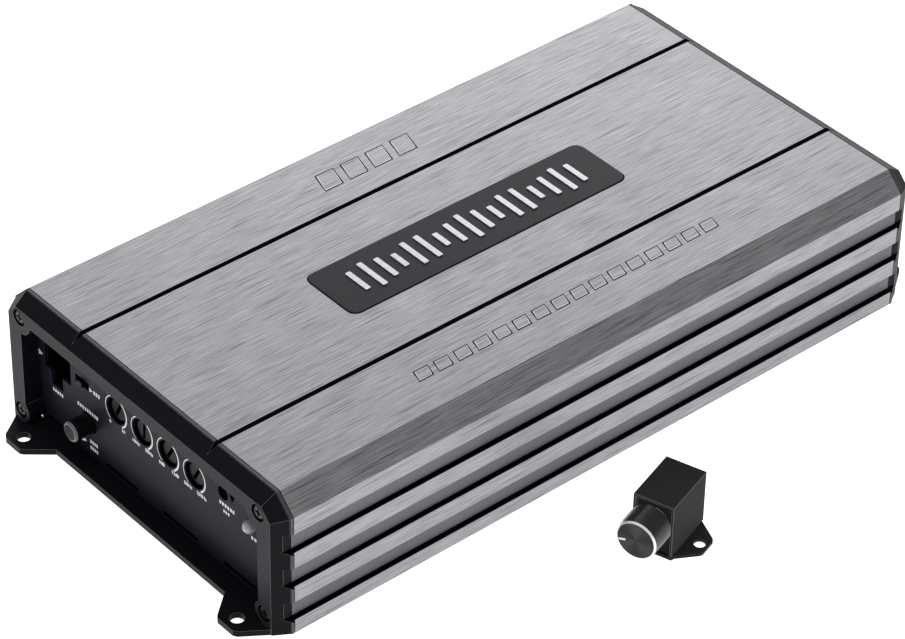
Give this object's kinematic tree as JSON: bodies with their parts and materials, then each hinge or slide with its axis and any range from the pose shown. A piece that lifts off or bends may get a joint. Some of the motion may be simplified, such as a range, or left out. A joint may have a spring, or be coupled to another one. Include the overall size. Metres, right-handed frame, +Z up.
{
  "type": "car amplifier",
  "caption": "Finned aluminium car amplifier with a control panel, screw terminals, blade fuses and a wired level control with a knob.",
  "frame": {"origin": "middle of the amplifier's underside, level with its feet", "axes": "+X along the housing from the control panel to the connector panel, +Z up through the lid"},
  "size_m": [0.3282, 0.2203, 0.0609],
  "materials": {
    "brushed_aluminium": "brushed and clear anodised",
    "black_casting": "cast aluminium under satin black paint",
    "black_sheet": "black anodised sheet",
    "blue_black_panel": "satin blue-black paint with white marks",
    "blackened_steel": "blackened steel",
    "nickel_plated_steel": "nickel plate",
    "brass": "plain brass",
    "black_plastic": "satin moulded",
    "dark_grey_plastic": "satin",
    "clear_plastic": "frosted light pipe",
    "circuit_board": "green solder mask",
    "capacitor_sleeve": "dark sleeve",
    "enamelled_copper": "enamelled copper winding on a ring core",
    "fuse_plastic": "clear amber plastic",
    "powder_coat": "black powder coat",
    "black_anodised": "turned and black anodised, bright chamfer"
  },
  "bodies": {
    "amplifier": {"heatsink_shell": "brushed_aluminium", "bottom_plate": "black_sheet", "badge_plate": "dark_grey_plastic", "front_end_cap": "black_casting", "rear_end_cap": "black_casting", "control_panel": "blue_black_panel", "connector_panel": "blue_black_panel", "input_socket": "black_plastic", "filter_switch_body": "blackened_steel", "level_switch_body": "dark_grey_plastic", "remote_socket": "black_plastic", "status_led": "clear_plastic", "control_board": "circuit_board", "main_board": "circuit_board", "power_transformer": "enamelled_copper", "output_inductor": "enamelled_copper", "reservoir_capacitor_1": "capacitor_sleeve", "reservoir_capacitor_2": "capacitor_sleeve", "transistor_row_left": "blackened_steel", "transistor_row_right": "blackened_steel", "terminal_block": "black_plastic", "fuse_holder": "black_plastic", "front_cap_screw_1": "blackened_steel", "front_cap_screw_2": "blackened_steel", "front_cap_screw_3": "blackened_steel", "front_cap_screw_4": "blackened_steel", "rear_cap_screw_1": "blackened_steel", "rear_cap_screw_2": "blackened_steel", "rear_cap_screw_3": "blackened_steel", "rear_cap_screw_4": "blackened_steel", "gain_trimmer": "dark_grey_plastic", "subsonic_trimmer": "dark_grey_plastic", "bass_trimmer": "dark_grey_plastic", "low_pass_trimmer": "dark_grey_plastic"},
    "gain_control": {"gain_dial": "black_plastic"},
    "subsonic_control": {"subsonic_dial": "black_plastic"},
    "bass_control": {"bass_dial": "black_plastic"},
    "low_pass_control": {"low_pass_dial": "black_plastic"},
    "filter_slider": {"filter_switch_slider": "black_plastic"},
    "level_push_button": {"level_button": "black_plastic"},
    "terminal_clamp_1": {"wire_clamp_1": "brass"},
    "terminal_set_screw_1": {"terminal_screw_1": "nickel_plated_steel"},
    "terminal_clamp_2": {"wire_clamp_2": "brass"},
    "terminal_set_screw_2": {"terminal_screw_2": "nickel_plated_steel"},
    "terminal_clamp_3": {"wire_clamp_3": "brass"},
    "terminal_set_screw_3": {"terminal_screw_3": "nickel_plated_steel"},
    "terminal_clamp_4": {"wire_clamp_4": "brass"},
    "terminal_set_screw_4": {"terminal_screw_4": "nickel_plated_steel"},
    "terminal_clamp_5": {"wire_clamp_5": "brass"},
    "terminal_set_screw_5": {"terminal_screw_5": "nickel_plated_steel"},
    "fuse_1": {"blade_fuse_1": "fuse_plastic"},
    "fuse_2": {"blade_fuse_2": "fuse_plastic"},
    "level_control": {"remote_base": "powder_coat", "remote_cover": "powder_coat", "remote_pot": "nickel_plated_steel", "remote_nut": "nickel_plated_steel", "remote_board": "circuit_board", "remote_jack": "black_plastic"},
    "level_knob": {"remote_knob": "black_anodised", "remote_shaft": "nickel_plated_steel"}
  },
  "joints": [
    {"name": "gain_turn", "type": "hinge", "parent": "amplifier", "child": "gain_control", "pos_m": [-0.1406, 0.0221, 0.0342], "axis": [-1, 0, 0], "range_deg": [-113, 167]},
    {"name": "subsonic_turn", "type": "hinge", "parent": "amplifier", "child": "subsonic_control", "pos_m": [-0.1406, 0.00685, 0.0342], "axis": [-1, 0, 0], "range_deg": [-136, 144]},
    {"name": "bass_turn", "type": "hinge", "parent": "amplifier", "child": "bass_control", "pos_m": [-0.1406, -0.0084, 0.0342], "axis": [-1, 0, 0], "range_deg": [-108, 172]},
    {"name": "low_pass_turn", "type": "hinge", "parent": "amplifier", "child": "low_pass_control", "pos_m": [-0.1406, -0.02365, 0.0342], "axis": [-1, 0, 0], "range_deg": [-111, 169]},
    {"name": "filter_slide", "type": "slide", "parent": "amplifier", "child": "filter_slider", "axis": [0, 1, 0], "range_m": [-0.0022, 0.0022]},
    {"name": "level_button_press", "type": "slide", "parent": "amplifier", "child": "level_push_button", "axis": [1, 0, 0], "range_m": [0, 0.0025], "stiffness_N_per_m": 300, "springref_m": -0.002},
    {"name": "clamp_travel_1", "type": "slide", "parent": "amplifier", "child": "terminal_clamp_1", "axis": [0, 0, 1], "range_m": [-0.005, 0]},
    {"name": "set_screw_turn_1", "type": "hinge", "parent": "terminal_clamp_1", "child": "terminal_set_screw_1", "pos_m": [0.1562, 0.0012, 0.0274], "axis": [0, 0, 1], "range_deg": [-2250, 0]},
    {"name": "clamp_travel_2", "type": "slide", "parent": "amplifier", "child": "terminal_clamp_2", "axis": [0, 0, 1], "range_m": [-0.005, 0]},
    {"name": "set_screw_turn_2", "type": "hinge", "parent": "terminal_clamp_2", "child": "terminal_set_screw_2", "pos_m": [0.1562, 0.0136, 0.0274], "axis": [0, 0, 1], "range_deg": [-2250, 0]},
    {"name": "clamp_travel_3", "type": "slide", "parent": "amplifier", "child": "terminal_clamp_3", "axis": [0, 0, 1], "range_m": [-0.005, 0]},
    {"name": "set_screw_turn_3", "type": "hinge", "parent": "terminal_clamp_3", "child": "terminal_set_screw_3", "pos_m": [0.1562, 0.026, 0.0274], "axis": [0, 0, 1], "range_deg": [-2250, 0]},
    {"name": "clamp_travel_4", "type": "slide", "parent": "amplifier", "child": "terminal_clamp_4", "axis": [0, 0, 1], "range_m": [-0.005, 0]},
    {"name": "set_screw_turn_4", "type": "hinge", "parent": "terminal_clamp_4", "child": "terminal_set_screw_4", "pos_m": [0.1562, 0.0384, 0.0274], "axis": [0, 0, 1], "range_deg": [-2250, 0]},
    {"name": "clamp_travel_5", "type": "slide", "parent": "amplifier", "child": "terminal_clamp_5", "axis": [0, 0, 1], "range_m": [-0.005, 0]},
    {"name": "set_screw_turn_5", "type": "hinge", "parent": "terminal_clamp_5", "child": "terminal_set_screw_5", "pos_m": [0.1562, 0.0508, 0.0274], "axis": [0, 0, 1], "range_deg": [-2250, 0]},
    {"name": "fuse_pull_1", "type": "slide", "parent": "amplifier", "child": "fuse_1", "axis": [1, 0, 0], "range_m": [0, 0.012]},
    {"name": "fuse_pull_2", "type": "slide", "parent": "amplifier", "child": "fuse_2", "axis": [1, 0, 0], "range_m": [0, 0.012]},
    {"name": "level_control_move", "type": "slide", "parent": "amplifier", "child": "level_control", "axis": [0, -1, 0], "range_m": [0, 0.12]},
    {"name": "level_knob_turn", "type": "hinge", "parent": "level_control", "child": "level_knob", "pos_m": [-0.02326, -0.12766, 0.0147], "axis": [-0.9494, -0.314, 0], "range_deg": [-250, 40]}
  ],
  "couplings": [
    {"joint": "set_screw_turn_1", "follows": "clamp_travel_1", "rad_per_m": 7854},
    {"joint": "set_screw_turn_2", "follows": "clamp_travel_2", "rad_per_m": 7854},
    {"joint": "set_screw_turn_3", "follows": "clamp_travel_3", "rad_per_m": 7854},
    {"joint": "set_screw_turn_4", "follows": "clamp_travel_4", "rad_per_m": 7854},
    {"joint": "set_screw_turn_5", "follows": "clamp_travel_5", "rad_per_m": 7854}
  ]
}
